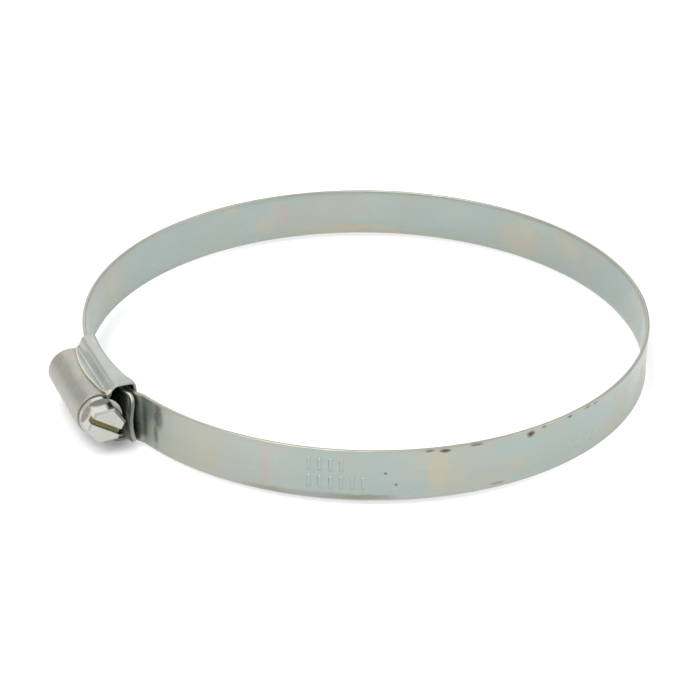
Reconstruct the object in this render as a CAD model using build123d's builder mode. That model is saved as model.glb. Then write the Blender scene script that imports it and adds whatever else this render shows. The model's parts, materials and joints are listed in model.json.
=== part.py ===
"""Worm-drive hose clamp, tube-housing pattern, drawn as sold: opened out to its largest loop.

Frame: origin on the loop's axis at the middle of the strip's width, +Z along the hose.
The housing sits on the -X side, and the screw's axis is parallel to Y with its head at -Y.
The strip is one flexible piece of steel. It is drawn as a fixed end, a row of links hinged on
the strip's inner face, and the stiff threaded tongue that the worm draws through the housing.
"""
import os
from math import acos, asin, atan2, cos, degrees, hypot, pi, radians, sin, tan

from build123d import *

os.makedirs("parts", exist_ok=True)

# Strip
BAND_WIDTH = 12.0
BAND_THICKNESS = 0.8
LOOP_RADIUS = 64.0            # middle of the strip's thickness
LINK_COUNT = 10
EDGE_ROUND = 0.2              # rolled long edges of the strip
LOOP_START_ANGLE = 199.5      # first hinge, just outside the housing's mouth
TONGUE_REAR_ANGLE = 67.0      # where the links meet the tongue
SCARF_ANGLE = 45.0            # slope of the cut between the last link and the tongue
SCARF_GAP = 0.04

# Tongue
TONGUE_RADIUS = 65.2          # middle of the tongue's thickness, about its own centre
TONGUE_TIP_ANGLE = 196.2
TIP_ROUND = 3.0
THREAD_PITCH = 3.0
GROOVE_DEPTH = 0.5
GROOVE_WIDTH = 1.6
GROOVE_LENGTH = 7.0
PLAIN_TIP = 4.0               # plain strip between the tip and the first groove
PLAIN_REAR = 5.0              # plain strip behind the last groove

# Fixed end of the strip, inside the housing
FIXED_END_ANGLE = 176.0
FIXED_MIDDLE_RADIUS = 64.65
JOGGLE_START_ANGLE = 195.7
JOGGLE_END_ANGLE = 198.2

# Saddle
SADDLE_INNER_RADIUS = 63.65
SADDLE_WALL = 0.6
SADDLE_FAR_Y = 7.8
SADDLE_MOUTH_Y = -16.8
WING_EDGE = ((-67.93, SADDLE_FAR_Y), (-69.65, -3.8), (-67.49, SADDLE_MOUTH_Y))
WING_TRIM_X = -80.0           # beyond the wings, where the cut along their curved edges ends
PLATE_HALF_WIDTH = 7.1
SADDLE_CORNER = 0.5           # rounding where a wing meets the plate

# Barrel housing
SCREW_AXIS_X = -69.5
BARREL_OUTER_RADIUS = 5.05
BARREL_WALL = 0.8
BARREL_MOUTH_Y = -14.2
FOOT_HALF_WIDTH = 6.9         # outside of the housing's two feet
SHOULDER_X = -66.6            # where the feet turn in towards the barrel
FOOT_BOTTOM_X = -56.0         # drawn long, then trimmed to the saddle plate
END_WALL = 0.8
END_WALL_LIMIT_X = -66.9      # the end wall stops above the tongue
PIVOT_HOLE_RADIUS = 2.08

# Screw
WORM_CORE_RADIUS = 3.2
WORM_CREST_RADIUS = 3.85
WORM_ROOT_WIDTH = 1.5
WORM_CREST_WIDTH = 0.9
THREAD_EMBED = 0.15
WORM_TURNS = 5.5
TURNS_PAST_GROOVE = 2          # whole turns beyond the groove that sits under the worm
LAND_RADIUS = 4.17
LAND_LENGTH = 1.3
COLLAR_RADIUS = 4.65
COLLAR_START_Y = -14.3
COLLAR_END_Y = -15.8
HEX_ACROSS_FLATS = 7.6
HEX_END_Y = -20.0
HEX_TURN = 3.0
HEX_CHAMFER = 0.5
SLOT_WIDTH = 1.35
SLOT_DEPTH = 1.7
SLOT_TURN = -33.0
PIVOT_RADIUS = 2.0
PIVOT_END_Y = 8.2
WORM_FAR_Y = 6.8

# Values that follow from the sizes above
HALF_THICKNESS = BAND_THICKNESS / 2
HALF_WIDTH = BAND_WIDTH / 2
REAR_ANGLE = radians(TONGUE_REAR_ANGLE)
TONGUE_CENTRE = (
    (LOOP_RADIUS - TONGUE_RADIUS) * cos(REAR_ANGLE),
    (LOOP_RADIUS - TONGUE_RADIUS) * sin(REAR_ANGLE),
)
TONGUE_OUTER_RADIUS = TONGUE_RADIUS + HALF_THICKNESS
THREADED_RADIUS = TONGUE_OUTER_RADIUS - GROOVE_DEPTH / 2
LINK_SWEEP = (TONGUE_REAR_ANGLE + 360.0 - LOOP_START_ANGLE) / LINK_COUNT
LEAD_ANGLE = degrees(atan2(THREAD_PITCH, 2 * pi * (WORM_CORE_RADIUS + WORM_CREST_RADIUS) / 2))
SCREW_PLANE = Plane(origin=(SCREW_AXIS_X, 0, 0), x_dir=(1, 0, 0), z_dir=(0, -1, 0))


def polar(radius, angle, centre=(0.0, 0.0)):
    """Point at an angle in degrees about a centre, in the plane of the loop."""
    return (centre[0] + radius * cos(radians(angle)), centre[1] + radius * sin(radians(angle)))


def finish(builder, name):
    """Label one finished piece and write it to its own file."""
    builder.part.label = name
    export_step(builder.part, f"parts/{name}.step")


def strip_piece(centre, radius, start, end, start_lean=0.0, end_lean=0.0, tip_round=0.0):
    """A length of plain strip bent to an arc, with its long edges rounded.

    A lean slopes that end's cut: it is the angle by which the inner corner passes the outer one.
    A piece with a sloping cut keeps square long edges, and may have a rounded tip at its far end.
    """
    with BuildPart() as piece:
        with BuildSketch(Plane.XY.offset(-HALF_WIDTH)):
            with BuildLine():
                inner_start = start + start_lean / 2
                outer_start = start - start_lean / 2
                inner_sweep = end + end_lean / 2 - inner_start
                outer_sweep = end - end_lean / 2 - outer_start
                inner = CenterArc(centre, radius - HALF_THICKNESS, inner_start, inner_sweep)
                outer = CenterArc(centre, radius + HALF_THICKNESS, outer_start, outer_sweep)
                Line(inner @ 0, outer @ 0)
                Line(inner @ 1, outer @ 1)
            make_face()
        extrude(amount=BAND_WIDTH)
        if tip_round:
            tip = piece.faces().sort_by_distance((*polar(radius, end, centre), 0))[0]
            fillet(tip.edges().filter_by(lambda edge: abs(edge.center().Z) > tip_round), tip_round)
        elif not end_lean:
            fillet(piece.edges().filter_by(GeomType.CIRCLE), EDGE_ROUND)
    return piece


# ---- Links of the strip, each hinged to the one before it at its inner corner ----
# The last link meets the tongue in a sloping cut, so that it can slip in under the tongue.
scarf_lean = degrees(BAND_THICKNESS / tan(radians(SCARF_ANGLE)) / LOOP_RADIUS)
for number in range(1, LINK_COUNT + 1):
    link_start = LOOP_START_ANGLE + (number - 1) * LINK_SWEEP
    if number < LINK_COUNT:
        link = strip_piece((0, 0), LOOP_RADIUS, link_start, link_start + LINK_SWEEP)
    else:
        link_end = TONGUE_REAR_ANGLE + 360.0 - degrees(SCARF_GAP / LOOP_RADIUS)
        link = strip_piece((0, 0), LOOP_RADIUS, link_start, link_end, end_lean=scarf_lean)
    finish(link, f"band_link_{number:02d}")


# ---- Tongue: the stiff threaded end of the strip ----
# The grooves lean with the worm's thread and are spaced one pitch apart along the strip. One
# of them sits exactly under the worm where the tongue runs parallel to the screw.
groove_step = degrees(THREAD_PITCH / THREADED_RADIUS)
tip_limit = TONGUE_TIP_ANGLE - degrees(PLAIN_TIP / TONGUE_RADIUS)
rear_limit = TONGUE_REAR_ANGLE + degrees(PLAIN_REAR / TONGUE_RADIUS)
most_grooves = int((tip_limit - rear_limit) / groove_step)
groove_angles = [
    180.0 + index * groove_step
    for index in range(-most_grooves, most_grooves + 1)
    if rear_limit <= 180.0 + index * groove_step <= tip_limit
]
groove_planes = [
    Plane(
        origin=(*polar(TONGUE_OUTER_RADIUS, angle, TONGUE_CENTRE), 0),
        x_dir=(*polar(1.0, angle + 90.0), 0),
        z_dir=(*polar(1.0, angle), 0),
    )
    for angle in groove_angles
]
with BuildPart() as tongue:
    add(
        strip_piece(
            TONGUE_CENTRE,
            TONGUE_RADIUS,
            TONGUE_REAR_ANGLE + degrees(SCARF_GAP / LOOP_RADIUS),
            TONGUE_TIP_ANGLE,
            start_lean=scarf_lean,
            tip_round=TIP_ROUND,
        ).part
    )
    with BuildSketch(*groove_planes):
        SlotOverall(GROOVE_LENGTH, GROOVE_WIDTH, rotation=90.0 - LEAD_ANGLE)
    extrude(amount=-GROOVE_DEPTH, mode=Mode.SUBTRACT)
finish(tongue, "band_tongue")


# ---- Fixed end of the strip: it lies on the saddle plate and steps in to the loop at the mouth ----
with BuildPart() as fixed_end:
    with BuildSketch(Plane.XY.offset(-HALF_WIDTH)):
        with BuildLine():
            ends = []
            for offset_from_middle in (-HALF_THICKNESS, HALF_THICKNESS):
                tunnel = CenterArc(
                    (0, 0),
                    FIXED_MIDDLE_RADIUS + offset_from_middle,
                    FIXED_END_ANGLE,
                    JOGGLE_START_ANGLE - FIXED_END_ANGLE,
                )
                loop = CenterArc(
                    (0, 0),
                    LOOP_RADIUS + offset_from_middle,
                    JOGGLE_END_ANGLE,
                    LOOP_START_ANGLE - JOGGLE_END_ANGLE,
                )
                Line(tunnel @ 1, loop @ 0)
                ends.append((tunnel @ 0, loop @ 1))
            Line(ends[0][0], ends[1][0])
            Line(ends[0][1], ends[1][1])
        make_face()
    extrude(amount=BAND_WIDTH)
finish(fixed_end, "band_fixed_end")


# ---- Housing: a tube over the screw whose sides run down to the saddle as two feet ----
# In the plane across the screw, the outside is a straight foot, a sloping shoulder tangent to
# the tube, the tube itself, and the same again below.
shoulder_reach = hypot(SHOULDER_X - SCREW_AXIS_X, FOOT_HALF_WIDTH)
tangent_angle = degrees(
    atan2(FOOT_HALF_WIDTH, SHOULDER_X - SCREW_AXIS_X) + acos(BARREL_OUTER_RADIUS / shoulder_reach)
)
tangent_x, tangent_z = polar(BARREL_OUTER_RADIUS, tangent_angle, (SCREW_AXIS_X, 0))
far_plane = Plane.XZ.offset(-SADDLE_FAR_Y)
barrel_length = SADDLE_FAR_Y - BARREL_MOUTH_Y


def housing_outline():
    """Closed outside line of the housing, drawn past the saddle plate, which trims it."""
    with BuildSketch() as outline:
        with BuildLine():
            upper = Polyline(
                (FOOT_BOTTOM_X, -FOOT_HALF_WIDTH),
                (FOOT_BOTTOM_X, FOOT_HALF_WIDTH),
                (SHOULDER_X, FOOT_HALF_WIDTH),
                (tangent_x, tangent_z),
            )
            crown = ThreePointArc(
                upper @ 1, (SCREW_AXIS_X - BARREL_OUTER_RADIUS, 0), (tangent_x, -tangent_z)
            )
            Polyline(crown @ 1, (SHOULDER_X, -FOOT_HALF_WIDTH), upper @ 0)
        make_face()
    return outline.sketch


with BuildPart() as barrel:
    with BuildSketch(far_plane):
        add(housing_outline())
        offset(amount=-BARREL_WALL, mode=Mode.SUBTRACT)
    extrude(amount=barrel_length)
    with BuildSketch(far_plane):
        add(housing_outline())
        with Locations((FOOT_BOTTOM_X, 0)):
            Rectangle(
                2 * (FOOT_BOTTOM_X - END_WALL_LIMIT_X), 4 * FOOT_HALF_WIDTH, mode=Mode.SUBTRACT
            )
        with Locations((SCREW_AXIS_X, 0)):
            Circle(PIVOT_HOLE_RADIUS, mode=Mode.SUBTRACT)
    extrude(amount=END_WALL)
    Cylinder(SADDLE_INNER_RADIUS + SADDLE_WALL, 4 * FOOT_HALF_WIDTH, mode=Mode.SUBTRACT)
finish(barrel, "barrel_housing")


# ---- Saddle: a curved plate under the strip, with a wing up each side of the housing ----
def plate_arc(radius):
    """Arc of the saddle plate from its far end round to the mouth."""
    far_angle = degrees(asin(SADDLE_FAR_Y / radius))
    mouth_angle = degrees(asin(-SADDLE_MOUTH_Y / radius))
    return CenterArc((0, 0), radius, 180.0 - far_angle, far_angle + mouth_angle)


with BuildPart() as saddle:
    with BuildSketch(far_plane):
        add(housing_outline())
        offset(amount=SADDLE_WALL)
        add(housing_outline(), mode=Mode.SUBTRACT)
    extrude(amount=SADDLE_FAR_Y - SADDLE_MOUTH_Y)
    with BuildSketch(Plane.XY):
        with BuildLine():
            wing_edge = ThreePointArc(*WING_EDGE)
            Polyline(
                wing_edge @ 0,
                (WING_TRIM_X, SADDLE_FAR_Y),
                (WING_TRIM_X, SADDLE_MOUTH_Y),
                wing_edge @ 1,
            )
        make_face()
    extrude(amount=2 * FOOT_HALF_WIDTH, both=True, mode=Mode.SUBTRACT)
    with BuildSketch(Plane.XY):
        with BuildLine():
            plate_inner = plate_arc(SADDLE_INNER_RADIUS)
            plate_outer = plate_arc(SADDLE_INNER_RADIUS + SADDLE_WALL)
            Line(plate_inner @ 0, plate_outer @ 0)
            Line(plate_inner @ 1, plate_outer @ 1)
        make_face()
    extrude(amount=PLATE_HALF_WIDTH, both=True)
    Cylinder(SADDLE_INNER_RADIUS, 4 * FOOT_HALF_WIDTH, mode=Mode.SUBTRACT)
    arcs_by_height = saddle.edges().filter_by(GeomType.CIRCLE).group_by(Axis.Z)
    lower_corner = arcs_by_height[0].sort_by(SortBy.RADIUS)[:1]
    upper_corner = arcs_by_height[-1].sort_by(SortBy.RADIUS)[:1]
    fillet(lower_corner + upper_corner, SADDLE_CORNER)
finish(saddle, "saddle")


# ---- Screw: slotted hexagon head, collar, journal land, worm and pivot, all one piece ----
groove_under_worm = -TONGUE_CENTRE[1]
thread_start = groove_under_worm - TURNS_PAST_GROOVE * THREAD_PITCH
thread_length = WORM_TURNS * THREAD_PITCH
thread_helix = Helix(THREAD_PITCH, thread_length, WORM_CORE_RADIUS, center=(0, 0, thread_start))
thread_path = SCREW_PLANE.from_local_coords(thread_helix)
with BuildPart() as screw:
    with BuildSketch(SCREW_PLANE.offset(-PIVOT_END_Y)):
        Circle(PIVOT_RADIUS)
    extrude(amount=PIVOT_END_Y)
    with BuildSketch(SCREW_PLANE.offset(-WORM_FAR_Y)):
        Circle(WORM_CORE_RADIUS)
    extrude(amount=WORM_FAR_Y - COLLAR_START_Y)
    with BuildSketch(SCREW_PLANE.offset(-COLLAR_START_Y - LAND_LENGTH)):
        Circle(LAND_RADIUS)
    extrude(amount=LAND_LENGTH)
    with BuildSketch(SCREW_PLANE.offset(-COLLAR_START_Y)):
        Circle(COLLAR_RADIUS)
    extrude(amount=COLLAR_START_Y - COLLAR_END_Y)
    with BuildSketch(SCREW_PLANE.offset(-COLLAR_END_Y)):
        RegularPolygon(HEX_ACROSS_FLATS / 2 / cos(pi / 6), 6, rotation=HEX_TURN)
    extrude(amount=COLLAR_END_Y - HEX_END_Y)
    chamfer(screw.faces().sort_by(Axis.Y)[0].edges(), HEX_CHAMFER)
    with BuildSketch(SCREW_PLANE.offset(-HEX_END_Y)):
        Rectangle(2 * HEX_ACROSS_FLATS, SLOT_WIDTH, rotation=SLOT_TURN)
    extrude(amount=-SLOT_DEPTH, mode=Mode.SUBTRACT)
    with BuildSketch(Plane(origin=thread_path @ 0, x_dir=(1, 0, 0), z_dir=thread_path % 0)):
        with BuildLine():
            crest = WORM_CREST_RADIUS - WORM_CORE_RADIUS
            Polyline(
                (-THREAD_EMBED, -WORM_ROOT_WIDTH / 2),
                (crest, -WORM_CREST_WIDTH / 2),
                (crest, WORM_CREST_WIDTH / 2),
                (-THREAD_EMBED, WORM_ROOT_WIDTH / 2),
                close=True,
            )
        make_face()
    sweep(path=thread_path, is_frenet=True)
finish(screw, "worm_screw")
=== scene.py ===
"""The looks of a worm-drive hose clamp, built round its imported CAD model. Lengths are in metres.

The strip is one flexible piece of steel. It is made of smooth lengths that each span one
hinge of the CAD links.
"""
import json
from math import atan2, cos, degrees, hypot, pi, radians, sin

import bmesh
import bpy
import numpy as np
from mathutils import Matrix, Vector


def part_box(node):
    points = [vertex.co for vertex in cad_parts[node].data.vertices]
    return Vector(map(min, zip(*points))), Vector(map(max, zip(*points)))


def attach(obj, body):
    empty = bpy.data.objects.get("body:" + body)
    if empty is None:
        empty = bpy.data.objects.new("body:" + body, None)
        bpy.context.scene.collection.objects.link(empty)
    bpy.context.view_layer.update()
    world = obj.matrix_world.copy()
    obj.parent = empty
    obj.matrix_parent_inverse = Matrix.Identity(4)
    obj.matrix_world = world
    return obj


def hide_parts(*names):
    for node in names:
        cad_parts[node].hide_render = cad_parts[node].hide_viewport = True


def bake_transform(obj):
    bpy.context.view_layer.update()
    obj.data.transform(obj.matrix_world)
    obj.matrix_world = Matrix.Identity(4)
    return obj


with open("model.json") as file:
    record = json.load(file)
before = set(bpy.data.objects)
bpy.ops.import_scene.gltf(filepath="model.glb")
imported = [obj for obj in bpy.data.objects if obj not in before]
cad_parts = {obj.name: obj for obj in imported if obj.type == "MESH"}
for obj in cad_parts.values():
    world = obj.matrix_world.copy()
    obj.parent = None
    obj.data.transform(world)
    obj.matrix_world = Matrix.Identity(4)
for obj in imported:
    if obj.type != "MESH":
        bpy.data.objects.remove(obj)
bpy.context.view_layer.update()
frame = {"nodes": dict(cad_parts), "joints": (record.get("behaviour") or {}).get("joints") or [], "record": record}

MM = 0.001

# ---- Sizes that the frame gives ----
joints = {joint["name"]: joint for joint in frame["joints"]}
ratios = {pair["joint"]: pair["ratio"] for pair in frame["record"]["behaviour"]["couplings"]}
hinges = [joints[name]["pos_m"] for name in sorted(joints) if name.startswith("flex_")]
LINK_COUNT = len(hinges)
BAND_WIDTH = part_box("band_tongue")[1].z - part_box("band_tongue")[0].z
HALF_WIDTH = BAND_WIDTH / 2
BAND_THICKNESS = 0.8 * MM
HALF_THICKNESS = BAND_THICKNESS / 2
LOOP_RADIUS = hypot(hinges[0][0], hinges[0][1]) + HALF_THICKNESS
FIRST_HINGE_ANGLE = degrees(atan2(hinges[0][1], hinges[0][0])) % 360
LINK_SWEEP = (degrees(atan2(hinges[1][1], hinges[1][0])) % 360) - FIRST_HINGE_ANGLE
LOOP_END_ANGLE = FIRST_HINGE_ANGLE + LINK_COUNT * LINK_SWEEP
TONGUE_CENTRE = Vector(joints["tongue_travel"]["pos_m"])
TONGUE_RADIUS = LOOP_RADIUS + TONGUE_CENTRE.length
SCREW_AXIS_X = joints["screw_turn"]["pos_m"][0]
SCREW_END_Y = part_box("worm_screw")[0].y
HOUSING_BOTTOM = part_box("saddle")[0].z

# ---- Sizes of the strip that the frame doesn't give ----
TONGUE_TIP_ANGLE = 196.2 + 360
FIXED_END_ANGLE = 176.0
FIXED_END_RADIUS = 64.65 * MM
JOGGLE_START_ANGLE = 195.7
JOGGLE_END_ANGLE = 198.2
GROOVE_DEPTH = 0.5 * MM
GROOVE_WIDTH = 2.05 * MM
GROOVE_LENGTH = 7.0 * MM
GROOVE_BLEND = 0.3 * MM
WORM_MIDDLE_RADIUS = 3.525 * MM
PLAIN_TIP = 4.0 * MM
PLAIN_REAR = 2.2 * MM
TIP_ROUND = 3.0 * MM           # upper corner of the tip, and the length that both corners fit in
TIP_ROUND_BELOW = 1.2 * MM
TIP_DISH = 0.9 * MM
TIP_DISH_LENGTH = 3.6 * MM
EDGE_ROUND = 0.3 * MM
EDGE_ROLL = 0.13 * MM
EDGE_ROLL_WIDTH = 1.5 * MM
SLOT_TURN = 33.0               # of the screw's slot from the plane of the loop
SCARF_SLOPE = 1.0              # the cut between the last link and the tongue, length over thickness
THREADED_RADIUS = TONGUE_RADIUS + HALF_THICKNESS - GROOVE_DEPTH / 2
THREAD_PITCH = 2 * pi * THREADED_RADIUS / ratios["screw_turn"]


def smooth(value):
    """0 below 0, 1 above 1, and a smooth rise between."""
    value = np.clip(value, 0, 1)
    return value * value * (3 - 2 * value)


# ---- Shader helpers ----
class Shader:
    """A material's node tree, built by short calls that each return a socket."""

    def __init__(self, name):
        self.material = bpy.data.materials.new(name)
        self.material.use_nodes = True
        self.tree = self.material.node_tree
        self.surface = self.tree.nodes["Principled BSDF"]

    def node(self, kind, **settings):
        made = self.tree.nodes.new(kind)
        for key, value in settings.items():
            setattr(made, key, value)
        return made

    def plug(self, socket, value):
        """Links a socket, or sets it when the value is a plain number or colour."""
        if isinstance(value, bpy.types.NodeSocket):
            self.tree.links.new(value, socket)
        elif isinstance(value, tuple) and len(value) == 3 and socket.type == "RGBA":
            socket.default_value = (*value, 1)
        else:
            socket.default_value = value

    def maths(self, operation, *values):
        made = self.node("ShaderNodeMath", operation=operation)
        for socket, value in zip(made.inputs, values):
            self.plug(socket, value)
        return made.outputs[0]

    def vector(self, operation, first, second=(0, 0, 0)):
        made = self.node("ShaderNodeVectorMath", operation=operation)
        self.plug(made.inputs[0], first)
        self.plug(made.inputs[1], second)
        gives_number = operation in ("LENGTH", "DOT_PRODUCT")
        return made.outputs["Value"] if gives_number else made.outputs[0]

    def split(self, vector):
        """The x, y and z of a vector."""
        made = self.node("ShaderNodeSeparateXYZ")
        self.plug(made.inputs[0], vector)
        return made.outputs

    def ramp(self, value, low, high, to_low=0.0, to_high=1.0):
        made = self.node("ShaderNodeMapRange", interpolation_type="SMOOTHSTEP")
        for socket, setting in zip(made.inputs, (value, low, high, to_low, to_high)):
            self.plug(socket, setting)
        return made.outputs[0]

    def noise(self, place, scale, detail=3.0, roughness=0.5, stretch=(1, 1, 1)):
        """Noise in 0..1; scale is in features per metre and stretch squeezes it along an axis."""
        made = self.node("ShaderNodeTexNoise")
        self.plug(made.inputs["Vector"], self.vector("MULTIPLY", place, stretch))
        self.plug(made.inputs["Scale"], scale)
        self.plug(made.inputs["Detail"], detail)
        self.plug(made.inputs["Roughness"], roughness)
        return made.outputs["Fac"]

    def mix(self, share, first, second):
        made = self.node("ShaderNodeMix", data_type="RGBA")
        self.plug(made.inputs["Factor"], share)
        self.plug(made.inputs["A"], first)
        self.plug(made.inputs["B"], second)
        return made.outputs["Result"]

    def toned(self, colour, tone):
        """A colour made lighter or darker by a number."""
        shade = self.node("ShaderNodeCombineXYZ")
        for socket in shade.inputs:
            self.plug(socket, tone)
        return self.vector("MULTIPLY", colour, shade.outputs[0])

    def bump(self, height, strength, distance, below=None):
        made = self.node("ShaderNodeBump")
        self.plug(made.inputs["Height"], height)
        self.plug(made.inputs["Strength"], strength)
        self.plug(made.inputs["Distance"], distance)
        if below is not None:
            self.plug(made.inputs["Normal"], below)
        return made.outputs[0]


# ---- Finishes: zinc plate with the faint blue, pink and yellow of its passivation ----
ZINC = (0.36, 0.38, 0.335)
ZINC_BLUE = (0.32, 0.38, 0.365)
ZINC_BEIGE = (0.41, 0.38, 0.295)
ZINC_PINK = (0.40, 0.345, 0.31)
EDGE_BEIGE = (0.37, 0.345, 0.28)
EDGE_GREY = (0.24, 0.225, 0.19)
RUST = (0.10, 0.065, 0.04)
# Near black: the dirt of specks and pits, and also the painted shade and reflection beside the tongue's tip
DIRT_AND_PAINTED_SHADE = (0.05, 0.045, 0.04)
OLIVE = (0.22, 0.19, 0.085)
CUT_EDGE = (0.62, 0.58, 0.46)
# Spots fade out between these shares of their reach: the stains, and the painted shade and reflection beside the
# tongue's tip
SPOT_CORE = 0.35              # a stain fades out between these shares of its reach
SPOT_RIM = 1.25
SIDE_SPREAD = 60.0             # keeps the marks of the strip's two faces apart

# Stains on the strip, and two spots of painted shade and reflection beside the tongue's tip: angle round the loop,
# height, reach along and across in mm, colour, strength
OUTER_STAINS_AND_PAINTED_SHADE = [
    (259.4, 0.5, 2.6, 6.5, ZINC_BEIGE, 1.0),
    (228.0, -5.3, 7.0, 0.8, EDGE_GREY, 0.7),
    (238.0, -5.2, 8.0, 0.9, EDGE_GREY, 0.9),
    (246.0, -5.1, 6.0, 0.6, EDGE_GREY, 0.8),
    # Painted shade and reflection, not dirt: dark spots where the shiny strip beside the tongue's tip mirrors the
    # tip's underside and the dark inside of the housing
    (202.6, 2.5, 1.3, 3.4, DIRT_AND_PAINTED_SHADE, 0.6),
    (201.6, -1.5, 1.0, 4.0, DIRT_AND_PAINTED_SHADE, 0.6),
    (263.0, -2.5, 3.0, 3.0, ZINC_BEIGE, 0.45),
    (272.0, 3.4, 4.0, 2.6, ZINC_BLUE, 0.9),
    (278.5, 2.6, 3.5, 2.6, ZINC_BLUE, 0.8),
    (275.0, -1.6, 2.0, 1.6, ZINC_BEIGE, 0.8),
    (227.0, 0.0, 1.6, 7.0, ZINC_PINK, 0.45),
    (213.0, 0.0, 10.0, 9.0, ZINC_BEIGE, 0.45),
    (236.0, -1.0, 7.0, 8.0, ZINC_BLUE, 0.5),
    (302.0, -3.6, 5.0, 1.6, ZINC_BEIGE, 0.6),
    (322.0, 0.0, 7.0, 8.0, ZINC_BEIGE, 0.55),
    (336.0, 0.0, 8.0, 9.0, ZINC_BEIGE, 0.8),
]
INNER_STAINS = [
    (362.0, -1.0, 7.0, 4.0, ZINC_BLUE, 0.8),
    (375.0, 2.0, 6.0, 3.0, ZINC_BEIGE, 0.55),
    (389.0, -1.0, 9.0, 4.5, ZINC_BEIGE, 0.65),
    (399.0, 3.0, 4.0, 2.0, ZINC_BLUE, 0.8),
    (412.0, -1.0, 9.0, 4.0, ZINC_BLUE, 0.6),
    (430.0, -5.0, 14.0, 1.5, ZINC_BEIGE, 0.9),
    (446.0, 1.5, 2.6, 3.4, ZINC_PINK, 0.8),
    (450.0, -1.5, 2.0, 2.4, ZINC_BEIGE, 0.7),
    (459.0, 4.6, 2.2, 1.4, ZINC_BEIGE, 0.9),
    (470.0, 0.0, 12.0, 6.0, ZINC_BLUE, 0.7),
    (486.0, 0.0, 7.0, 6.0, ZINC_BLUE, 0.6),
    (500.0, 0.0, 7.0, 6.0, ZINC_BEIGE, 0.35),
]
# Rust and dirt specks on the outer face, near its upper edge and a few lower down
SPECKS = [
    (257.5, 5.6, 1.2, 0.35, DIRT_AND_PAINTED_SHADE, 0.95),
    (260.5, 5.2, 1.4, 0.5, DIRT_AND_PAINTED_SHADE, 0.9),
    (266.5, 5.6, 1.8, 0.4, DIRT_AND_PAINTED_SHADE, 0.9),
    (278.0, 4.9, 1.0, 0.9, RUST, 0.95),
    (281.0, 5.6, 0.7, 0.4, DIRT_AND_PAINTED_SHADE, 0.9),
    (287.5, 5.5, 0.8, 0.4, DIRT_AND_PAINTED_SHADE, 0.9),
    (292.5, 5.6, 1.3, 0.35, DIRT_AND_PAINTED_SHADE, 0.85),
    (295.0, 5.4, 1.0, 0.3, RUST, 0.8),
    (249.5, 0.6, 0.35, 0.3, RUST, 0.8),
    (251.5, -2.2, 0.35, 0.35, RUST, 0.8),
    (271.0, -5.0, 2.0, 0.3, RUST, 0.4),
    (318.0, 5.3, 0.8, 0.35, RUST, 0.8),
    (326.0, 5.4, 1.4, 0.3, RUST, 0.7),
]


def strip_along(angle):
    """Length along the strip at an angle round the loop."""
    return radians(angle) * LOOP_RADIUS


def spotted(shader, colour, place, spots, face, ragged):
    """Lays soft ragged spots over a colour where face, the share of one of the strip's faces, is 1."""
    for angle, height, reach, rise, tint, strength in spots:
        centre = (strip_along(angle), height * MM, 0)
        off = shader.vector("SUBTRACT", place, centre)
        off = shader.vector("MULTIPLY", off, (1 / (reach * MM), 1 / (rise * MM), 0))
        distance = shader.maths("ADD", shader.vector("LENGTH", off), ragged)
        share = shader.ramp(distance, SPOT_CORE, SPOT_RIM, strength, 0)
        colour = shader.mix(shader.maths("MULTIPLY", share, face), colour, tint)
    return colour


def strip_finish():
    """Plated strip: long faint draw lines, drifting tints, stains, painted shade and reflection beside the
    tongue's tip, specks and beige bands along both edges.
    """
    shader = Shader("strip_zinc")
    place = shader.node("ShaderNodeAttribute", attribute_name="strip").outputs["Vector"]
    _, height, offset = shader.split(place)
    outer = shader.ramp(offset, -0.1 * MM, 0.1 * MM)
    inner = shader.maths("SUBTRACT", 1.0, outer)
    both = shader.vector("MULTIPLY", place, (1, 1, SIDE_SPREAD))

    drift = shader.noise(both, 42, 4, 0.55)
    cloud = shader.noise(both, 110, 5, 0.6)
    mottle = shader.noise(both, 420, 5, 0.65)
    lines = shader.noise(both, 1, 4, 0.6, stretch=(60, 2600, 60))
    grain = shader.noise(both, 5200, 3, 0.6)

    colour = shader.mix(shader.ramp(drift, 0.36, 0.68), ZINC, ZINC_BLUE)
    colour = shader.mix(shader.ramp(cloud, 0.50, 0.76, 0, 0.40), colour, ZINC_BEIGE)
    colour = shader.mix(shader.ramp(mottle, 0.56, 0.80, 0, 0.20), colour, ZINC_PINK)
    ragged = shader.maths("MULTIPLY_ADD", cloud, 1.3, -0.65)
    fine = shader.maths("MULTIPLY_ADD", mottle, 1.6, -0.8)
    ragged = shader.maths("ADD", ragged, shader.maths("MULTIPLY", fine, 0.8))
    # Stains on the outer face, with the painted shade and reflection beside the tongue's tip
    colour = spotted(shader, colour, place, OUTER_STAINS_AND_PAINTED_SHADE, outer, ragged)
    colour = spotted(shader, colour, place, INNER_STAINS, inner, ragged)
    colour = spotted(shader, colour, place, SPECKS, outer, fine)

    edge = shader.ramp(shader.maths("ABSOLUTE", height), 5.35 * MM, 5.8 * MM)
    colour = shader.mix(shader.maths("MULTIPLY", edge, 0.6), colour, EDGE_BEIGE)
    colour = shader.toned(colour, shader.ramp(lines, 0.25, 0.75, 0.97, 1.02))
    shader.plug(shader.surface.inputs["Base Color"], colour)
    shader.plug(shader.surface.inputs["Metallic"], 1.0)
    cloudy = shader.ramp(cloud, 0.3, 0.7, 0.27, 0.40)
    rough = shader.maths("ADD", cloudy, shader.ramp(lines, 0.3, 0.7, -0.03, 0.05))
    shader.plug(shader.surface.inputs["Roughness"], rough)
    normal = shader.bump(lines, 0.04, 0.03 * MM)
    normal = shader.bump(grain, 0.06, 0.02 * MM, normal)
    normal = shader.bump(drift, 0.30, 0.25 * MM, normal)
    shader.plug(shader.surface.inputs["Normal"], normal)
    return shader.material


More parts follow.
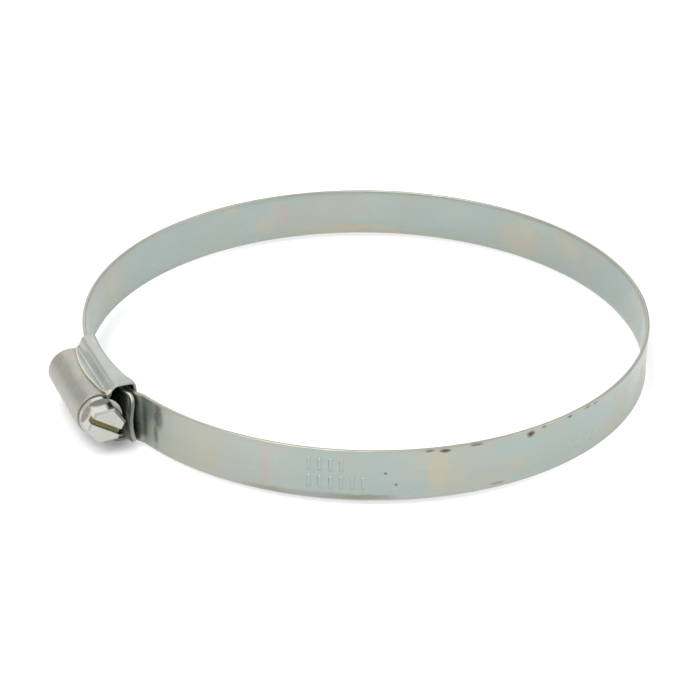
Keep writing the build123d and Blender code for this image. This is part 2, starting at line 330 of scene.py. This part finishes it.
def plated_finish(name, base, tint, warm, rough, winged=False, slotted=False):
    """Plated metal: satin, cloudy, with small pits and handling marks.

    A winged saddle's cut edges are pale, and a slotted screw's slot is olive."""
    shader = Shader(name)
    place = shader.node("ShaderNodeTexCoord").outputs["Object"]
    drift = shader.noise(place, 95, 4, 0.55)
    cloud = shader.noise(place, 300, 5, 0.6)
    lines = shader.noise(place, 1, 4, 0.6, stretch=(1700, 130, 1700))
    grain = shader.noise(place, 4200, 3, 0.6)
    pits = shader.noise(place, 1500, 2, 0.5)
    colour = shader.mix(shader.ramp(drift, 0.40, 0.64), base, tint)
    colour = shader.mix(shader.ramp(cloud, 0.48, 0.72, 0, 0.6), colour, warm)
    colour = shader.mix(shader.ramp(pits, 0.70, 0.78, 0, 0.55), colour, DIRT_AND_PAINTED_SHADE)
    if winged:
        x, y, _ = shader.split(place)
        along = shader.maths("SUBTRACT", y, WING_EDGE_Y)
        fallen = shader.maths("MULTIPLY", shader.maths("MULTIPLY", along, along), WING_EDGE_CURVE)
        edge = shader.maths("ADD", fallen, WING_EDGE_X)
        pale = shader.ramp(shader.maths("SUBTRACT", x, edge), 0.12 * MM, 0.42 * MM, 0.9, 0)
        colour = shader.mix(pale, colour, CUT_EDGE)
    if slotted:
        turn = radians(SLOT_TURN)
        off_axis = shader.vector("SUBTRACT", place, (SCREW_AXIS_X, SCREW_END_Y, 0))
        aside = shader.vector("DOT_PRODUCT", off_axis, (sin(turn), 0, cos(turn)))
        inside = shader.ramp(shader.maths("ABSOLUTE", aside), 0.60 * MM, 0.69 * MM, 1, 0)
        _, depth, _ = shader.split(off_axis)
        sunk = shader.ramp(depth, 0.25 * MM, 0.9 * MM)
        sunk = shader.maths("MULTIPLY", sunk, shader.ramp(depth, 1.8 * MM, 1.9 * MM, 1, 0))
        colour = shader.mix(shader.maths("MULTIPLY", inside, sunk), colour, OLIVE)
    colour = shader.toned(colour, shader.ramp(lines, 0.25, 0.75, 0.95, 1.03))
    shader.plug(shader.surface.inputs["Base Color"], colour)
    shader.plug(shader.surface.inputs["Metallic"], 1.0)
    shader.plug(shader.surface.inputs["Roughness"], shader.ramp(cloud, 0.3, 0.7, rough, rough + 0.14))
    normal = shader.bump(lines, 0.10, 0.03 * MM)
    normal = shader.bump(grain, 0.12, 0.02 * MM, normal)
    normal = shader.bump(drift, 0.4, 0.2 * MM, normal)
    shader.plug(shader.surface.inputs["Normal"], normal)
    return shader.material


def floor_finish():
    """Matt white studio paper with a barely visible tooth."""
    shader = Shader("studio_paper")
    place = shader.node("ShaderNodeTexCoord").outputs["Object"]
    tooth = shader.noise(place, 900, 3, 0.5)
    tone = shader.mix(tooth, (0.93, 0.93, 0.93), (0.96, 0.96, 0.96))
    shader.plug(shader.surface.inputs["Base Color"], tone)
    shader.plug(shader.surface.inputs["Roughness"], 0.9)
    shader.plug(shader.surface.inputs["Specular IOR Level"], 0.1)
    return shader.material


# ---- The strip's shape ----
FACE_STEP = 0.4 * MM           # spacing of points across the strip's faces
STAMPED_STEP = 0.13 * MM       # the same where the strip is stamped
GROOVED_STEP = 0.2 * MM        # the same where it is grooved
GROOVED_RING_STEP = 0.16 * MM  # spacing of its rings along the grooved tongue
TIP_RINGS = 25
TIP_SHARE = 0.9995             # the last ring stops just short of the tip, so that it keeps its size
EDGE_POINTS = 7


def placed(name, data):
    """An object in the scene that holds this mesh, camera or light."""
    made = bpy.data.objects.new(name, data)
    bpy.context.scene.collection.objects.link(made)
    return made


def strip_section(step):
    """Points round the strip's cross-section: offset from its middle, height, and 1 on the outer
    face, -1 on the inner face and 0 on the rounded edges."""
    flat = HALF_WIDTH - EDGE_ROUND
    across = int(round(2 * flat / step))
    turn = HALF_THICKNESS - EDGE_ROUND
    points = [(HALF_THICKNESS, height, 1) for height in np.linspace(-flat, flat, across)]
    for index in range(1, EDGE_POINTS):
        angle = pi * index / EDGE_POINTS
        offset = (turn if angle < pi / 2 else -turn) + EDGE_ROUND * cos(angle)
        points.append((offset, flat + EDGE_ROUND * sin(angle), 0))
    points += [(-offset, -height, -face) for offset, height, face in points]
    offsets, heights, faces = np.array(points).T
    roll = smooth((np.abs(heights) - HALF_WIDTH + EDGE_ROLL_WIDTH) / EDGE_ROLL_WIDTH)
    return offsets + EDGE_ROLL * roll, heights, faces


def strip_mesh(
    name, angles, radii, centre=(0, 0), step=FACE_STEP, shape=None, start_slope=0, end_slope=0
):
    """A closed length of strip along an arc. shape changes the rings' offsets and heights.

    The attribute "strip" holds length along the strip, height and offset, for the materials."""
    offsets, heights, faces = strip_section(step)
    rings, around = len(angles), len(offsets)
    along = np.radians(angles)[:, None] * LOOP_RADIUS * np.ones(around)
    offsets = np.tile(offsets, (rings, 1))
    heights = np.tile(heights, (rings, 1))
    attribute = np.stack([along, heights, offsets], axis=2)
    if shape is not None:
        offsets, heights = shape(along, offsets, heights, faces)
    # A sloping end passes on the inner side by the slope times the depth below the outer face.
    spread = np.linspace(0, 1, rings)[:, None]
    lean = (1 - spread) * start_slope + spread * end_slope
    shift = lean * -offsets / LOOP_RADIUS
    turn = np.radians(angles)[:, None] + shift
    reach = np.array(radii)[:, None] + offsets
    across_x = centre[0] + reach * np.cos(turn)
    across_y = centre[1] + reach * np.sin(turn)
    points = np.stack([across_x, across_y, heights], axis=2)
    quads = []
    for ring in range(rings - 1):
        for point in range(around):
            after = (point + 1) % around
            base = ring * around
            quads.append((base + point, base + around + point, base + around + after, base + after))
    quads.append(tuple(range(around)))
    quads.append(tuple(reversed(range((rings - 1) * around, rings * around))))
    mesh = bpy.data.meshes.new(name)
    mesh.from_pydata(points.reshape(-1, 3).tolist(), [], quads)
    mesh.polygons.foreach_set("use_smooth", [True] * len(mesh.polygons))
    stored = mesh.attributes.new("strip", "FLOAT_VECTOR", "POINT")
    stored.data.foreach_set("vector", attribute.astype(np.float32).ravel())
    last = (rings - 1) * around
    for edge in mesh.edges:
        first, second = edge.vertices
        edge.use_edge_sharp = max(first, second) < around or min(first, second) >= last
    return placed(name, mesh)


def loop_radius(angle):
    """Radius of the strip's middle: on the saddle plate inside the housing, then the loop's."""
    rise = smooth((angle - JOGGLE_START_ANGLE) / (JOGGLE_END_ANGLE - JOGGLE_START_ANGLE))
    return FIXED_END_RADIUS + (LOOP_RADIUS - FIXED_END_RADIUS) * rise


def spaced(start, end, step):
    """Angles from start to end, about one step of length apart along the loop."""
    count = max(2, int(round(radians(end - start) * LOOP_RADIUS / step)) + 1)
    return np.linspace(start, end, count)


# ---- Embossed marks: plain bars in two rows, in place of a size stamp ----
FIRST_MARK_ANGLE = 235.4
MARK_ROWS = [(2.3 * MM, 4), (-1.9 * MM, 6)]
MARK_SPACING = 2.25 * MM
MARK_HALF_LENGTH = 1.1 * MM
MARK_HALF_WIDTH = 0.24 * MM
MARK_SOFTNESS = 0.22 * MM
MARK_HEIGHT = 0.28 * MM


def embossed(along, offsets, heights, faces):
    """Raises the bars on the outer face."""
    raised = np.zeros_like(offsets)
    for row_height, count in MARK_ROWS:
        for index in range(count):
            middle = strip_along(FIRST_MARK_ANGLE) + index * MARK_SPACING
            up = np.abs(heights - row_height) - MARK_HALF_LENGTH
            gap = np.hypot(along - middle, np.maximum(up, 0)) - MARK_HALF_WIDTH
            raised = np.maximum(raised, smooth(1 - gap / MARK_SOFTNESS))
    return offsets + MARK_HEIGHT * raised * (faces > 0), heights


# ---- Tongue: grooves pressed in its outer face, and a dished tip with rounded corners ----
GROOVE_LEAN = THREAD_PITCH / (2 * pi * WORM_MIDDLE_RADIUS)
STRETCH = TONGUE_RADIUS / LOOP_RADIUS
UNDER_WORM_ANGLE = 180 + 360   # one groove sits here, under the worm
BOWL_DEPTH = 1.5
BOWL_HEIGHT = -0.8 * MM        # the dish is deepest a little below the middle of the strip


def tongue_shape(along, offsets, heights, faces):
    """Presses the grooves in the outer face, rounds the tip's corners and dishes the tip."""
    place = (along - strip_along(UNDER_WORM_ANGLE)) * STRETCH
    tip = strip_along(TONGUE_TIP_ANGLE - UNDER_WORM_ANGLE) * STRETCH
    rear = strip_along(LOOP_END_ANGLE - UNDER_WORM_ANGLE) * STRETCH
    groove_spacing = THREAD_PITCH * TONGUE_RADIUS / THREADED_RADIUS
    lowest = np.ceil((rear + PLAIN_REAR) / groove_spacing)
    highest = np.floor((tip - PLAIN_TIP) / groove_spacing)
    row = np.clip(np.round((place - GROOVE_LEAN * heights) / groove_spacing), lowest, highest)
    across = np.abs(place - GROOVE_LEAN * heights - row * groove_spacing)
    up = np.maximum(np.abs(heights) - (GROOVE_LENGTH - GROOVE_WIDTH) / 2, 0)
    wall = (GROOVE_WIDTH / 2 - np.hypot(across, up)) / GROOVE_BLEND
    offsets = offsets - GROOVE_DEPTH * smooth(wall) * (faces > 0)
    corner = np.where(heights > 0, TIP_ROUND, TIP_ROUND_BELOW)
    from_tip = np.clip(place - (tip - corner), 0, corner)
    room = np.sqrt(np.maximum(corner ** 2 - from_tip ** 2, 0)) / corner
    beyond = np.maximum(np.abs(heights) - (HALF_WIDTH - corner), 0)
    heights = np.sign(heights) * (np.abs(heights) - beyond + beyond * room)
    dish = smooth((place - (tip - TIP_DISH_LENGTH)) / TIP_DISH_LENGTH)
    bowl = 1 - BOWL_DEPTH * ((heights - BOWL_HEIGHT) / HALF_WIDTH) ** 2
    return offsets + TIP_DISH * dish * bowl, heights


# ---- Build the strip ----
strip_zinc = strip_finish()


def dress(piece, material):
    """Gives a piece its only material."""
    piece.data.materials.clear()
    piece.data.materials.append(material)


def link_middle(number):
    """Angle of the middle of a CAD link, counted from 1."""
    return FIRST_HINGE_ANGLE + (number - 0.5) * LINK_SWEEP


def build_band():
    """Lengths of strip from link middle to link middle, each spanning one hinge."""
    for number in range(LINK_COUNT):
        start = FIXED_END_ANGLE if number == 0 else link_middle(number)
        end = link_middle(number + 1)
        is_stamped = start <= FIRST_MARK_ANGLE < end
        step = STAMPED_STEP if is_stamped else FACE_STEP
        angles = spaced(start, end, step)
        piece = strip_mesh(
            f"strip_{number:02d}", angles, loop_radius(angles), step=step,
            shape=embossed if is_stamped else None,
        )
        dress(piece, strip_zinc)
        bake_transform(piece)
        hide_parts("band_fixed_end" if number == 0 else f"band_link_{number:02d}")
    angles = spaced(link_middle(LINK_COUNT), LOOP_END_ANGLE, FACE_STEP)
    last = strip_mesh(f"strip_{LINK_COUNT:02d}", angles, loop_radius(angles), end_slope=SCARF_SLOPE)
    dress(last, strip_zinc)
    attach(last, f"link_{LINK_COUNT:02d}")
    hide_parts(f"band_link_{LINK_COUNT:02d}")


def build_tongue():
    """The stiff threaded end of the strip."""
    tip_sweep = degrees(TIP_ROUND / TONGUE_RADIUS)
    body = spaced(LOOP_END_ANGLE, TONGUE_TIP_ANGLE - tip_sweep, GROOVED_RING_STEP)
    # The rounded tip's rings crowd together towards its end, evenly round the corner.
    quarter = np.sin(np.linspace(0, pi / 2, TIP_RINGS + 1))[1:]
    tip = body[-1] + tip_sweep * quarter * TIP_SHARE
    angles = np.concatenate([body, tip])
    piece = strip_mesh(
        "tongue_strip", angles, np.full(len(angles), TONGUE_RADIUS), centre=TONGUE_CENTRE[:2],
        step=GROOVED_STEP, shape=tongue_shape, start_slope=SCARF_SLOPE,
    )
    dress(piece, strip_zinc)
    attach(piece, "tongue")
    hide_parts("band_tongue")


# ---- Housing: two pressed sheets, each a section swept along the screw's direction ----
FAR_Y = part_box("saddle")[1].y
MOUTH_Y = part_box("saddle")[0].y
TUBE_MOUTH_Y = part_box("barrel_housing")[0].y
SADDLE_RADIUS = 63.65 * MM     # inner face of the saddle plate
SADDLE_WALL = 0.6 * MM
SADDLE_HALF_HEIGHT = 7.5 * MM
SADDLE_FLAT_HEIGHT = 5.2 * MM  # the plate is straight up to here, then turns into the wing
SADDLE_TURN = 1.8 * MM
WING_EDGE_WALL = 0.42 * MM
TUBE_RADIUS = 5.05 * MM
TUBE_WALL = 0.8 * MM
WING_EDGE_X = -69.65 * MM      # the wings reach furthest over the tube at WING_EDGE_Y
WING_EDGE_Y = -3.8 * MM
WING_EDGE_CURVE = 12.8         # how fast the wings' edges fall back from there, per metre
WING_HUG_X = -67.7 * MM        # from here to its edge a wing lies on the tube
FLARE_START_Y = -12.6 * MM     # the wings open out from here to the mouth
LOWER_MOUTH_Y = -14.5 * MM     # the lower wing stops here
HOLLOW_START = radians(53)
RING_STEP = 0.4 * MM
RIM_ROUND = 0.16 * MM
PIVOT_HOLE_RADIUS = 2.1 * MM
END_WALL = 0.8 * MM
END_WALL_REACH = 2.6 * MM      # from the screw's axis towards the strip
END_WALL_GAP = 0.02 * MM
END_WALL_INSET = 0.03 * MM
END_WALL_POINTS = 72
ARC_POINTS = 40
RIM_RINGS = 5
SMOOTHING_PASSES = 3
FOLD_ANGLE = radians(35)       # edges that turn more than this stay crisp
# Lines in the plane across the screw, as x and height, from the plate outwards: the saddle's
# shoulder, the upper half of its mouth, and the outside and inside of the housing's feet
SHOULDER_LINE = np.array([(-65.9, 7.5), (-66.6, 7.1), (-67.1, 5.7)]) * MM
MOUTH_LINE = np.array([
    (-61.45, 0), (-61.5, 5.0), (-61.75, 7.7), (-63.2, 7.95), (-65.2, 7.93), (-66.4, 7.8),
    (-67.1, 7.1), (-67.7, 6.6), (-68.05, 6.3), (-68.35, 5.95),
]) * MM
FOOT_LINE = np.array([(-65.3, 6.86), (-65.95, 6.68), (-66.4, 5.72), (-67.15, 4.87), (-67.45, 4.62)]) * MM
FOOT_INNER_LINE = np.array([(-66.15, 6.08), (-66.2, 5.6), (-66.45, 4.6)]) * MM
FOOT_GAP = 0.01 * MM


def rounded(line):
    """Cuts the corners off an open line of points until it is a smooth curve."""
    for _ in range(SMOOTHING_PASSES):
        first = line[:-1] * 0.75 + line[1:] * 0.25
        second = line[:-1] * 0.25 + line[1:] * 0.75
        cut = np.stack([first, second], axis=1).reshape(-1, line.shape[1])
        line = np.concatenate([line[:1], cut[1:-1], line[-1:]])
    return line


def inset(line, depth):
    """Moves each point of an open line of (x, height, y) points to its left by its own depth."""
    run = np.gradient(line[:, :2], axis=0)
    run /= np.linalg.norm(run, axis=1)[:, None]
    aside = np.stack([-run[:, 1], run[:, 0], np.zeros(len(line))], axis=1)
    return line + aside * np.reshape(depth, (-1, 1))


def on_tube(x, radius):
    """Height of a tube of this radius round the screw's axis."""
    return np.sqrt(max(radius ** 2 - (x - SCREW_AXIS_X) ** 2, 0))


def level_line(line, y):
    """Points of x and height as (x, height, y)."""
    return np.column_stack([line, np.full(len(line), y)])


def saddle_line(y, flare_share):
    """Half of the saddle's outside at y, from the middle of the plate to the wing's edge."""
    plate = -np.sqrt(SADDLE_RADIUS ** 2 - y ** 2)
    edge = WING_EDGE_X + WING_EDGE_CURVE * (y - WING_EDGE_Y) ** 2
    hug = TUBE_RADIUS + WING_EDGE_WALL
    on_the_tube = [(x, on_tube(x, hug)) for x in (WING_HUG_X, (WING_HUG_X + edge) / 2, edge)]
    line = np.array([
        (plate, 0), (plate, SADDLE_FLAT_HEIGHT), (plate, SADDLE_HALF_HEIGHT),
        (plate - SADDLE_TURN, SADDLE_HALF_HEIGHT), *SHOULDER_LINE, *on_the_tube,
    ])
    flare = smooth((FLARE_START_Y - y) / (FLARE_START_Y - MOUTH_Y)) * flare_share
    return level_line(line + (MOUTH_LINE - line) * flare, y)


def saddle_ring(y, thin):
    """The saddle's section; its lower wing stops short of the mouth."""
    upper = rounded(saddle_line(y, 1.0))
    lower_y = FAR_Y + (y - FAR_Y) * (FAR_Y - LOWER_MOUTH_Y) / (FAR_Y - MOUTH_Y)
    lower_line = saddle_line(lower_y, 0.0)
    lower_line[0] = saddle_line(y, 1.0)[0]
    lower = rounded(lower_line) * (1, -1, 1)
    outside = np.concatenate([lower[:0:-1], upper])
    share = np.abs(np.linspace(-1, 1, len(outside))) ** 3
    wall = SADDLE_WALL + (WING_EDGE_WALL - SADDLE_WALL) * share
    return inset(outside, thin), inset(outside, wall - thin)


def tube_arc(radius, start):
    """From an angle on the strip's side round the upper half of the tube to its far side."""
    turns = np.linspace(start, pi, ARC_POINTS)
    return np.stack([SCREW_AXIS_X + radius * np.cos(turns), radius * np.sin(turns)], axis=1)


def tube_ring(y, thin):
    """The tube and its two feet, which lie against the saddle's wings and stand on its plate."""
    plate = -np.sqrt((SADDLE_RADIUS + SADDLE_WALL) ** 2 - y ** 2) - FOOT_GAP
    foot = rounded(np.array([(plate, FOOT_LINE[0][1]), *FOOT_LINE]))
    crown = tube_arc(TUBE_RADIUS, atan2(foot[-1][1], foot[-1][0] - SCREW_AXIS_X))[1:]
    hollow = tube_arc(TUBE_RADIUS - TUBE_WALL + thin, HOLLOW_START)
    outside = inset(level_line(np.concatenate([foot, crown]), y), thin)
    inside = np.concatenate([[(plate, FOOT_INNER_LINE[0][1])], FOOT_INNER_LINE, hollow])
    inside = resampled(level_line(inside, y), len(outside))
    outside[-1, 1] = 0
    inside[-1, 1] = 0
    return tuple(np.concatenate([half[:-1], (half * (1, -1, 1))[::-1]]) for half in (outside, inside))


def resampled(line, count):
    """The same open line with this many evenly spaced points."""
    travelled = np.concatenate([[0], np.cumsum(np.linalg.norm(np.diff(line, axis=0), axis=1))])
    places = np.linspace(0, travelled[-1], count)
    return np.column_stack([np.interp(places, travelled, column) for column in line.T])


def closed_mesh(name, points, faces):
    """An object from points and faces, with its faces turned outwards and its folds kept crisp."""
    mesh = bpy.data.meshes.new(name)
    mesh.from_pydata(points, [], faces)
    shell = bmesh.new()
    shell.from_mesh(mesh)
    bmesh.ops.recalc_face_normals(shell, faces=shell.faces)
    shell.to_mesh(mesh)
    shell.free()
    mesh.polygons.foreach_set("use_smooth", [True] * len(mesh.polygons))
    mesh.set_sharp_from_angle(angle=FOLD_ANGLE)
    return placed(name, mesh)


def swept(name, ring, start_y, end_y):
    """A closed mesh through rings from start_y to end_y, with the edges of both ends rounded.

    ring gives the outside and the inside of the section at y, thinned by a depth on each face."""
    direction = np.sign(end_y - start_y)
    steps = np.linspace(0, pi / 2, RIM_RINGS)
    rim_in = RIM_ROUND * (1 - np.cos(steps))
    rim_thin = RIM_ROUND * (1 - np.sin(steps))
    count = int(round(abs(end_y - start_y) / RING_STEP))
    plain_start, plain_end = start_y + direction * RIM_ROUND, end_y - direction * RIM_ROUND
    places = [(start_y + direction * into, thin) for into, thin in zip(rim_in, rim_thin)]
    places += [(y, 0.0) for y in np.linspace(plain_start, plain_end, count)[1:-1]]
    places += [(end_y - direction * into, thin) for into, thin in zip(rim_in[::-1], rim_thin[::-1])]
    faces = [ring(*place) for place in places]
    rings = [np.concatenate([outside, inside[::-1]]) for outside, inside in faces]
    around = len(rings[0])
    points = [(x, y, z) for shape in rings for x, z, y in shape]
    quads = []
    for base in (0, len(points) - around):
        for point in range(around // 2 - 1):
            across = around - 1 - point
            quads.append((base + point, base + point + 1, base + across - 1, base + across))
    for base in range(0, len(points) - around, around):
        for point in range(around):
            after = (point + 1) % around
            quads.append((base + point, base + around + point, base + around + after, base + after))
    return closed_mesh(name, points, quads)


def end_wall_line(y, hole):
    """A loop of the end wall: the pivot's hole, or the rim that is cut straight on the strip's side."""
    turns = np.linspace(0, 2 * pi, END_WALL_POINTS, endpoint=False)
    towards_strip = np.maximum(np.cos(turns), 0.01)
    rim = np.minimum(TUBE_RADIUS - TUBE_WALL - END_WALL_GAP, END_WALL_REACH / towards_strip)
    reach = np.full(END_WALL_POINTS, PIVOT_HOLE_RADIUS) if hole else rim
    return [(SCREW_AXIS_X + out * cos(turn), y, out * sin(turn)) for out, turn in zip(reach, turns)]


def build_end_wall(material):
    """A flat ring that closes the tube's far end."""
    outside_y = FAR_Y - END_WALL_INSET
    inside_y = FAR_Y - END_WALL
    loops = [(inside_y, False), (inside_y, True), (outside_y, True), (outside_y, False)]
    points = [point for y, hole in loops for point in end_wall_line(y, hole)]
    quads = []
    for loop in range(len(loops)):
        base, after_base = loop * END_WALL_POINTS, (loop + 1) % len(loops) * END_WALL_POINTS
        for point in range(END_WALL_POINTS):
            after = (point + 1) % END_WALL_POINTS
            quads.append((base + point, base + after, after_base + after, after_base + point))
    wall = closed_mesh("housing_end", points, quads)
    dress(wall, material)
    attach(wall, "housing")


def build_housing():
    """The saddle and the tube are drawn anew with their rolled shapes; the screw keeps its own."""
    housing = plated_finish(
        "housing_zinc", (0.345, 0.335, 0.29), (0.31, 0.31, 0.28), (0.43, 0.38, 0.285), 0.30,
    )
    plated = plated_finish(
        "saddle_zinc", (0.385, 0.40, 0.36), (0.34, 0.385, 0.375), (0.44, 0.40, 0.32), 0.30, winged=True,
    )
    screw = plated_finish(
        "screw_zinc", (0.49, 0.48, 0.44), (0.44, 0.45, 0.44), (0.50, 0.46, 0.36), 0.16, slotted=True,
    )
    saddle = swept("saddle_sheet", saddle_ring, FAR_Y, MOUTH_Y)
    dress(saddle, plated)
    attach(saddle, "housing")
    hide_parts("saddle")
    tube = swept("tube_housing", tube_ring, FAR_Y, TUBE_MOUTH_Y)
    dress(tube, housing)
    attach(tube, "housing")
    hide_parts("barrel_housing")
    build_end_wall(housing)
    dress(frame["nodes"]["worm_screw"], screw)


# ---- Studio ----
CAMERA_PLACE = Vector((-171.557, -385.324, 226.014)) * MM
CAMERA_TARGET = Vector((-3.842, 1.820, -6.0)) * MM
CAMERA_ROLL = radians(0.585)
CAMERA_LENS = 105.75
SENSOR_WIDTH = 36
NEAREST_SEEN = 0.02
HALF_FLOOR = 4.0
FLOOR_GAP = 0.02 * MM
SKY_COLOUR = (0.97, 0.98, 1.0, 1)
# Square soft boxes aimed at the clamp: place, size and power
SOFT_BOXES = {
    "key": ((-0.5, -0.35, 0.9), 0.8, 7),
    "fill": ((0.8, -0.6, 0.5), 0.9, 3),
    "back": ((0.1, 0.9, 0.7), 0.9, 1.5),
}


def build_camera():
    """The photograph's view of the clamp."""
    data = bpy.data.cameras.new("camera")
    data.lens = CAMERA_LENS
    data.sensor_width = SENSOR_WIDTH
    data.clip_start = NEAREST_SEEN
    camera = placed("camera", data)
    aim = (CAMERA_TARGET - CAMERA_PLACE).to_track_quat("-Z", "Y").to_matrix().to_4x4()
    camera.matrix_world = Matrix.Translation(CAMERA_PLACE) @ aim @ Matrix.Rotation(CAMERA_ROLL, 4, "Z")
    bpy.context.scene.camera = camera


def build_studio():
    """A pale floor just under the housing, three soft boxes and a plain white sky."""
    corners = [(x * HALF_FLOOR, y * HALF_FLOOR, 0) for x, y in ((-1, -1), (1, -1), (1, 1), (-1, 1))]
    mesh = bpy.data.meshes.new("floor")
    mesh.from_pydata(corners, [], [(0, 1, 2, 3)])
    mesh.materials.append(floor_finish())
    floor = placed("floor", mesh)
    floor.location.z = HOUSING_BOTTOM - FLOOR_GAP
    for name, (place, size, power) in SOFT_BOXES.items():
        data = bpy.data.lights.new(name, "AREA")
        data.size = size
        data.energy = power
        light = placed(name, data)
        light.location = place
        light.rotation_euler = (-Vector(place)).to_track_quat("-Z", "Y").to_euler()
    world = bpy.data.worlds.new("studio")
    world.use_nodes = True
    background = world.node_tree.nodes["Background"]
    background.inputs["Color"].default_value = SKY_COLOUR
    background.inputs["Strength"].default_value = 1.0
    bpy.context.scene.world = world
    bpy.context.scene.view_settings.view_transform = "Standard"


build_band()
build_tongue()
build_housing()
build_studio()
build_camera()
